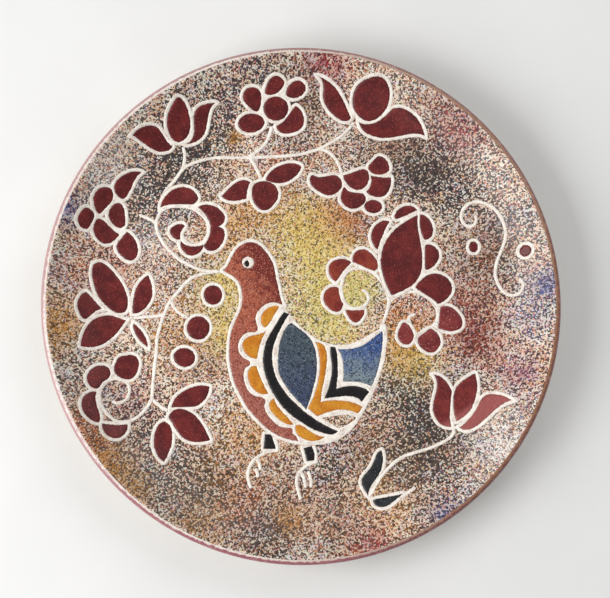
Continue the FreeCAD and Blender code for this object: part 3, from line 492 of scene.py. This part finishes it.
def feather_enamel(name, top, bottom, light, dark_speck, y_low, y_high):
    """Blue enamel that changes down the feathers, thick with light and dark grains."""
    s = Shader(name)
    place = s.millimetres()
    rough_place = s.ragged(place, 0.7, 0.2)
    blend = s.math("ADD", s.axis(place, "Y"), s.ramp(s.noise(place, 9.0, 3.0), 0.2, 0.8, -7.0, 7.0))
    shade = s.mix(s.ramp(blend, y_low, y_high), bottom, top)
    deep = s.spots(rough_place, 1.0, 0.55, 41, 0.3, 0.65)
    shade = s.mix(s.math("MULTIPLY", deep, 0.8), shade, dark_speck)
    fine = s.spots(rough_place, 0.8, 0.35, 42, 0.2, 0.5)
    shade = s.mix(s.math("MULTIPLY", fine, 0.6), shade, light)
    s.bump(s.noise(place, 0.7, 3.0, 0.6), 0.06)
    return s.finish(shade, 0.4, 0.28)


MAROON = colour(118, 38, 36)
MAROON_DARK = colour(92, 26, 28)
ROSE_SPECK = colour(160, 76, 66)
MATERIALS = {
    "speckled_glaze": sprayed_glaze(),
    "rim_glaze": rim_glaze(),
    "back_glaze": plain_glaze("back_glaze", colour(224, 212, 192), colour(219, 205, 184)),
    "bare_clay": bare_clay(),
    "cream_slip": cream_slip(),
    "maroon": enamel("maroon_enamel", MAROON, MAROON_DARK, ROSE_SPECK, 0.24),
    "light_maroon": enamel("light_maroon_enamel", colour(142, 58, 56), colour(116, 40, 42),
                           colour(200, 140, 130), 0.2),
    # The lower right tulip gets a painted sheen where it runs up the right-hand wall.
    "tulip_maroon": enamel("tulip_maroon_enamel", colour(134, 50, 46), colour(104, 34, 34),
                           ROSE_SPECK, 0.24, thin=colour(172, 96, 92)),
    "rust_maroon": enamel("rust_maroon_enamel", colour(152, 62, 44), colour(120, 38, 32), ROSE_SPECK, 0.16),
    "ochre": enamel("ochre_enamel", colour(226, 154, 44), colour(210, 126, 28), colour(90, 56, 24), 0.06),
    "black": enamel("black_enamel", colour(26, 25, 24), colour(18, 18, 19), colour(84, 80, 74), 0.05),
    "charcoal": enamel("charcoal_enamel", colour(46, 50, 52), colour(30, 33, 36),
                       colour(104, 110, 112), 0.14),
    "breast": bird_breast_enamel(),
    "wing": feather_enamel("wing_enamel", colour(68, 80, 88), colour(60, 70, 96),
                           colour(132, 142, 150), colour(22, 26, 36), -60.0, -12.0),
    "tail": feather_enamel("tail_enamel", colour(56, 82, 136), colour(116, 130, 138),
                           colour(170, 178, 176), colour(30, 38, 64), -42.0, -24.0),
}


# ------------------------------------------------------------------ the turned shell
TURN_STEPS = 360
AXIS_RADIUS = 1e-6      # a section point nearer than this lies on the axis


def arc_points(centre, radius, start, end, steps):
    """Points (radial, height) along an arc of the section."""
    angles = np.linspace(start, end, steps + 1)
    return [(centre[0] + radius * math.cos(a), centre[1] + radius * math.sin(a)) for a in angles]


def line_points(start, end, steps):
    return [(start[0] + (end[0] - start[0]) * t, start[1] + (end[1] - start[1]) * t)
            for t in np.linspace(0, 1, steps + 1)]


def joined(*runs):
    """One row of points from runs that share their ends."""
    points = list(runs[0])
    for run in runs[1:]:
        points.extend(run[1:])
    return points


def hand_wobble(x, y):
    """The slight unevenness of a plate shaped by hand, as a shift of the surface."""
    slow = noise.noise(Vector((x, y, 0.0)) * 22)
    quick = noise.noise(Vector((x, y, 0.0)) * 90 + Vector((3, 5, 7)))
    return 0.16 * MM * slow + 0.04 * MM * quick


def add_object(name, vertices, faces, material):
    mesh = bpy.data.meshes.new(name)
    mesh.from_pydata([tuple(v) for v in vertices], [], [tuple(f) for f in faces])
    mesh.materials.append(MATERIALS[material])
    mesh.polygons.foreach_set("use_smooth", np.ones(len(mesh.polygons), dtype=bool))
    made = bpy.data.objects.new(name, mesh)
    bpy.context.scene.collection.objects.link(made)
    return made


def turn(name, section, material, wobble=0.0):
    """Turns a closed section about the axis. A point at radius 0 is made once."""
    vertices = []
    rings = []
    for radial, height in section:
        if radial < AXIS_RADIUS:
            rings.append([len(vertices)] * TURN_STEPS)
            vertices.append((0.0, 0.0, height))
            continue
        ring = []
        for step in range(TURN_STEPS):
            angle = 2 * math.pi * step / TURN_STEPS
            x, y = radial * math.cos(angle), radial * math.sin(angle)
            lift = wobble * hand_wobble(x, y)
            ring.append(len(vertices))
            vertices.append((x, y, height + lift))
        rings.append(ring)
    faces = []
    count = len(rings)
    for index in range(count):
        here, there = rings[index], rings[(index + 1) % count]
        for step in range(TURN_STEPS):
            after = (step + 1) % TURN_STEPS
            corners = [here[step], there[step], there[after], here[after]]
            unique = list(dict.fromkeys(corners))
            if len(unique) > 2:
                faces.append(unique)
    return add_object(name, vertices, faces, material)


def lip_arc(start, end, depth, steps):
    return arc_points((LIP_X, LIP_Z), LIP_RADIUS - depth, start, end, steps)


def face_section(depth, floor_steps, wall_steps):
    """From the axis out to where the rim's colour begins."""
    centre = (FLOOR_RADIUS, FLOOR_TOP + FACE_ARC)
    wall_end = math.atan2(LIP_Z - centre[1], LIP_X - centre[0])
    return joined(line_points((0.0, FLOOR_TOP - depth), (FLOOR_RADIUS, FLOOR_TOP - depth), floor_steps),
                  arc_points(centre, FACE_ARC + depth, -math.pi / 2, wall_end, wall_steps),
                  lip_arc(FACE_JOINT, COLOUR_JOINT, depth, 4))


def back_section(depth):
    """From the lip in to the foot ring's glazed side."""
    centre = (BACK_RADIUS, BACK_HEIGHT + BACK_ARC)
    corner = FOOT_RADIUS + FOOT_FILLET
    flat = BACK_HEIGHT + depth
    side = FOOT_RADIUS - depth
    return joined(arc_points(centre, BACK_ARC - depth, BACK_JOINT, -math.pi / 2, 28),
                  line_points((BACK_RADIUS, flat), (corner, flat), 3),
                  arc_points((corner, BACK_HEIGHT - FOOT_FILLET), FOOT_FILLET + depth,
                             math.pi / 2, math.pi, 6),
                  line_points((side, BACK_HEIGHT - FOOT_FILLET), (side, FOOT_BARE), 2))


def well_section(depth):
    """From the foot ring's inner side in to the axis."""
    inside = FOOT_RADIUS - FOOT_WIDTH
    return joined(line_points((inside + depth, FOOT_BARE), (inside + depth, WELL_HEIGHT - FOOT_FILLET), 2),
                  arc_points((inside - FOOT_FILLET, WELL_HEIGHT - FOOT_FILLET), FOOT_FILLET + depth, 0.0,
                             math.pi / 2, 6),
                  line_points((inside - FOOT_FILLET, WELL_HEIGHT + depth), (0.0, WELL_HEIGHT + depth), 20))


def carried(piece, node):
    """Sets a piece on the frame in place of a CAD node."""
    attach(piece, "root")
    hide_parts(node)


def add_shell():
    face_outline = face_section(0.0, 70, 34) + face_section(GLAZE, 6, 12)[::-1]
    face = turn("sprayed_face", face_outline, "speckled_glaze", 1.0)
    add_spray_layers(face.data)
    carried(face, "face_glaze")
    lip_outline = lip_arc(COLOUR_JOINT, BACK_JOINT, 0.0, 22) + lip_arc(BACK_JOINT, COLOUR_JOINT, GLAZE, 12)
    lip = turn("rose_lip", lip_outline, "rim_glaze", 1.0)
    carried(lip, "lip_glaze")
    back = turn("glazed_back", back_section(0.0) + back_section(GLAZE)[::-1], "back_glaze", 0.6)
    carried(back, "back_glaze")
    well = turn("glazed_well", well_section(0.0) + well_section(GLAZE)[::-1], "back_glaze")
    carried(well, "foot_well_glaze")
    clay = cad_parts["clay_body"]
    clay.material_slots[0].material = MATERIALS["bare_clay"]


# ------------------------------------------------------------------ raised painting
LINE_THICKNESS = 0.36   # mm
FIELD_THICKNESS = 0.26
LINE_HALF_WIDTH = 1.0
SHOULDER = 0.35         # how soon a field reaches its thickness, in mm from its edge
LINE_SPACING = 0.45     # mm between points inside a line
FIELD_SPACING = 0.9
EDGE_LIFT = 0.02        # mm from the glaze up to a piece's edge
SUNK = 0.12             # mm from the glaze down to a piece's underside
EDGE_STEP = 0.6         # mm between points along an outline
SMALLEST_STEP = 0.22
SMALLEST_LOOP = 0.5     # mm2
ALL_TRIANGLES = 0       # the mesher's output, from which those inside the outlines are kept


def enclosed_area(loop):
    x, y = loop[:, 0], loop[:, 1]
    return abs(np.dot(x, np.roll(y, -1)) - np.dot(y, np.roll(x, -1))) / 2


def top_loops(mesh):
    """The outlines of a flat-topped CAD node in plan, in mm, as closed rows of points."""
    place = np.empty(len(mesh.vertices) * 3)
    mesh.vertices.foreach_get("co", place)
    place = place.reshape(-1, 3)
    _, first, same = np.unique(np.round(place, 7), axis=0, return_index=True, return_inverse=True)
    same = same.ravel()
    edges = set()
    for polygon in mesh.polygons:
        if polygon.normal.z < 0.3:
            continue
        ring = [int(same[v]) for v in polygon.vertices]
        for start, end in zip(ring, ring[1:] + ring[:1]):
            if start == end:
                continue
            if (end, start) in edges:
                edges.discard((end, start))
            else:
                edges.add((start, end))
    following = {}
    for start, end in sorted(edges):
        following.setdefault(start, []).append(end)
    loops = []
    while following:
        start = next(iter(following))
        loop = [start]
        point = start
        while True:
            ends = following[point]
            step = ends.pop()
            if not ends:
                del following[point]
            if step == start or step not in following:
                break
            loop.append(step)
            point = step
        if len(loop) > 2:
            loops.append(place[first[loop]][:, :2] / MM)
    return [loop for loop in loops if enclosed_area(loop) > SMALLEST_LOOP]


def wobble_at(x, y):
    """How far a hand drawn edge strays at a point, the same for every piece that meets there."""
    slow = noise.noise_vector(Vector((x / 9, y / 9, 1.7)))
    quick = noise.noise_vector(Vector((x / 1.3, y / 1.3, 8.1)))
    return 0.28 * slow.x + 0.24 * quick.x, 0.28 * slow.y + 0.24 * quick.y


def respaced(loop):
    """The loop with its long steps divided, its tiny steps dropped, and a hand drawn edge."""
    kept = [loop[0]]
    for point in loop[1:]:
        if np.hypot(*(point - kept[-1])) >= SMALLEST_STEP:
            kept.append(point)
    if np.hypot(*(kept[0] - kept[-1])) < SMALLEST_STEP:
        kept.pop()
    points = []
    for here, there in zip(kept, kept[1:] + kept[:1]):
        count = max(1, int(math.ceil(np.hypot(*(there - here)) / EDGE_STEP)))
        for part in range(count):
            x, y = here + (there - here) * part / count
            shift_x, shift_y = wobble_at(x, y)
            points.append((x + shift_x, y + shift_y))
    return points


def loop_edges(loops):
    """The starts and the ends of all edges of the loops."""
    starts = np.vstack([np.array(loop) for loop in loops])
    ends = np.vstack([np.roll(np.array(loop), -1, axis=0) for loop in loops])
    return starts, ends


def inner_points(loops, spacing):
    """Points of a triangular grid that lie inside the loops."""
    starts, ends = loop_edges(loops)
    low, high = starts.min(0), starts.max(0)
    points = []
    row = 0
    y = low[1] + spacing / 2
    while y < high[1]:
        crosses = (starts[:, 1] > y) != (ends[:, 1] > y)
        if crosses.any():
            a, b = starts[crosses], ends[crosses]
            crossings = np.sort(a[:, 0] + (y - a[:, 1]) * (b[:, 0] - a[:, 0]) / (b[:, 1] - a[:, 1]))
            for left, right in zip(crossings[::2], crossings[1::2]):
                first = math.ceil((left - low[0]) / spacing - 0.5 * (row % 2))
                x = low[0] + (first + 0.5 * (row % 2)) * spacing
                while x < right:
                    points.append((x, y))
                    x += spacing
        y += spacing * 0.866
        row += 1
    return points


def is_inside(places, loops):
    """Whether each place lies inside the loops: an odd number of edges cross the ray to its left."""
    starts, ends = loop_edges(loops)
    rises = np.where(ends[:, 1] == starts[:, 1], 1, ends[:, 1] - starts[:, 1])
    slopes = (ends[:, 0] - starts[:, 0]) / rises
    inside = []
    for x, y in places:
        crosses = (starts[:, 1] > y) != (ends[:, 1] > y)
        left_of = starts[crosses, 0] + (y - starts[crosses, 1]) * slopes[crosses] < x
        inside.append(np.count_nonzero(left_of) % 2 == 1)
    return inside


def edge_distances(points, loops):
    """How far each point lies from the nearest outline."""
    samples = []
    for loop in loops:
        for here, there in zip(loop, loop[1:] + loop[:1]):
            samples.append(here)
            samples.append(((here[0] + there[0]) / 2, (here[1] + there[1]) / 2))
    tree = kdtree.KDTree(len(samples))
    for index, (x, y) in enumerate(samples):
        tree.insert((x, y, 0), index)
    tree.balance()
    return [tree.find((x, y, 0))[2] for x, y in points]


def bead(distance, x, y):
    """A rounded line of slip, a little lumpy along its length."""
    across = min(distance / LINE_HALF_WIDTH, 1.0)
    coarse = noise.noise(Vector((x / 1.6, y / 1.6, 2.2)))
    fine = noise.noise(Vector((x / 0.7, y / 0.7, 4.4)))
    lump = 1 + 0.22 * coarse + 0.12 * fine
    return LINE_THICKNESS * math.sqrt(max(0.0, 1 - (1 - across) ** 2)) * lump


def pool(distance, x, y):
    """A flat field of enamel with soft shoulders."""
    uneven = 1 + 0.15 * noise.noise(Vector((x / 3, y / 3, 6.6)))
    return FIELD_THICKNESS * (1 - math.exp(-distance / SHOULDER)) * uneven


def raised_piece(name, node, profile, spacing, material):
    """A closed raised piece on the face, with a CAD node's outline and a profile's height."""
    loops = [respaced(loop) for loop in top_loops(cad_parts[node].data)]
    inside = inner_points(loops, spacing)
    distances = edge_distances(inside, loops)
    inside = [(point, gap) for point, gap in zip(inside, distances) if gap > spacing * 0.4]
    flat = [Vector(point) for loop in loops for point in loop]
    edge_count = len(flat)
    edges = []
    start = 0
    for loop in loops:
        edges.extend((start + i, start + (i + 1) % len(loop)) for i in range(len(loop)))
        start += len(loop)
    flat.extend(Vector(point) for point, _ in inside)
    points, _, faces, origins, _, _ = geometry.delaunay_2d_cdt(flat, edges, [], ALL_TRIANGLES, 1e-5)
    middles = np.array([[sum(points[v][axis] for v in face) / 3 for axis in (0, 1)] for face in faces])
    faces = [face for face, kept in zip(faces, is_inside(middles, loops)) if kept]
    gaps = []
    for source in origins:
        index = min(source) if source else 0
        gaps.append(0.0 if not source or index < edge_count else inside[index - edge_count][1])
    top = []
    bottom = []
    for point, gap in zip(points, gaps):
        surface = float(face_height(math.hypot(point.x, point.y) * MM))
        surface += hand_wobble(point.x * MM, point.y * MM)
        rise = (EDGE_LIFT + profile(gap, point.x, point.y)) * MM
        top.append((point.x * MM, point.y * MM, surface + rise))
        bottom.append((point.x * MM, point.y * MM, surface - SUNK * MM))
    count = len(points)
    layer_values = gaps + [0.0] * count
    used = dict.fromkeys((a, b) for face in faces for a, b in zip(face, [*face[1:], face[0]]))
    all_faces = [tuple(face) for face in faces]
    all_faces += [tuple(v + count for v in reversed(face)) for face in faces]
    for a, b in used:
        if (b, a) not in used:
            all_faces.append((b, a, a + count, b + count))
    piece = add_object(name, top + bottom, all_faces, material)
    piece.data.attributes.new("gap", "FLOAT", "POINT").data.foreach_set("value", layer_values)
    carried(piece, node)


FIELD_COLOURS = {
    "bird_breast": "breast", "bird_scallops": "ochre", "bird_black_feathers": "black", "bird_wing": "wing",
    "bird_ochre_band": "ochre", "bird_tail": "tail", "bird_thighs": "black", "bird_eye": "cream_slip",
    "bird_pupil": "black", "leaf_pair_fields": "charcoal", "centre_spiral_fields": "rust_maroon",
    "right_spiral_fields": "light_maroon", "lower_right_tulip_fields": "tulip_maroon",
}
SHELL_NODES = {"clay_body", "face_glaze", "lip_glaze", "back_glaze", "foot_well_glaze"}


def add_painting():
    for node in sorted(set(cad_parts) - SHELL_NODES):
        if "line" in node:
            raised_piece("painted_" + node, node, bead, LINE_SPACING, "cream_slip")
        else:
            material = FIELD_COLOURS.get(node, "maroon")
            raised_piece("painted_" + node, node, pool, FIELD_SPACING, material)


# ------------------------------------------------------------------ stage, light and camera
CAMERA_DISTANCE = 0.95
CAMERA_ELEVATION = math.radians(83)
CAMERA_AZIMUTH = math.radians(-24.5)
CAMERA_TARGET = Vector((0.0012, 0.0017, 0.028))
CAMERA_LENS = 97.29
SENSOR_WIDTH = 36.0
TABLE_HALF = 3.0


def add_camera():
    """Nearly overhead, leaning to the lower left, with the picture's top kept up."""
    back = Vector((math.sin(CAMERA_AZIMUTH) * math.cos(CAMERA_ELEVATION),
                   -math.cos(CAMERA_AZIMUTH) * math.cos(CAMERA_ELEVATION), math.sin(CAMERA_ELEVATION)))
    right = Vector((0, 1, 0)).cross(back).normalized()
    up = back.cross(right)
    data = bpy.data.cameras.new("camera")
    data.lens = CAMERA_LENS
    data.sensor_width = SENSOR_WIDTH
    camera = bpy.data.objects.new("camera", data)
    bpy.context.scene.collection.objects.link(camera)
    camera.matrix_world = Matrix.LocRotScale(CAMERA_TARGET + back * CAMERA_DISTANCE,
                                             Matrix((right, up, back)).transposed(), None)
    bpy.context.scene.camera = camera


def add_area_light(name, place, size, power):
    """A soft light that looks at the middle of the table."""
    data = bpy.data.lights.new(name, "AREA")
    data.shape = "RECTANGLE"
    data.size = data.size_y = size
    data.energy = power
    light = bpy.data.objects.new(name, data)
    bpy.context.scene.collection.objects.link(light)
    light.location = place
    light.rotation_euler = (-Vector(place)).to_track_quat("-Z", "Y").to_euler()


def add_stage():
    s = Shader("pale_table")
    place = s.millimetres()
    shade = s.mix(s.ramp(s.noise(place, 60.0, 2.0), 0.3, 0.7), colour(232, 231, 229), colour(229, 228, 226))
    material = s.finish(shade, 0.6, 0.3)
    half = TABLE_HALF
    corners = [(-half, -half, 0), (half, -half, 0), (half, half, 0), (-half, half, 0)]
    mesh = bpy.data.meshes.new("table")
    mesh.from_pydata(corners, [], [(0, 1, 2, 3)])
    mesh.materials.append(material)
    table = bpy.data.objects.new("table", mesh)
    bpy.context.scene.collection.objects.link(table)
    add_area_light("window", (-1.05, -0.3, 0.85), 0.9, 17.5)
    add_area_light("room", (0.9, 1.3, 1.3), 1.8, 15)
    world = bpy.data.worlds.new("room")
    world.use_nodes = True
    world.node_tree.nodes["Background"].inputs[0].default_value = (0.95, 0.97, 1.0, 1)
    world.node_tree.nodes["Background"].inputs[1].default_value = 0.42
    bpy.context.scene.world = world


bpy.context.scene.view_settings.view_transform = "Standard"
add_shell()
add_painting()
add_camera()
add_stage()
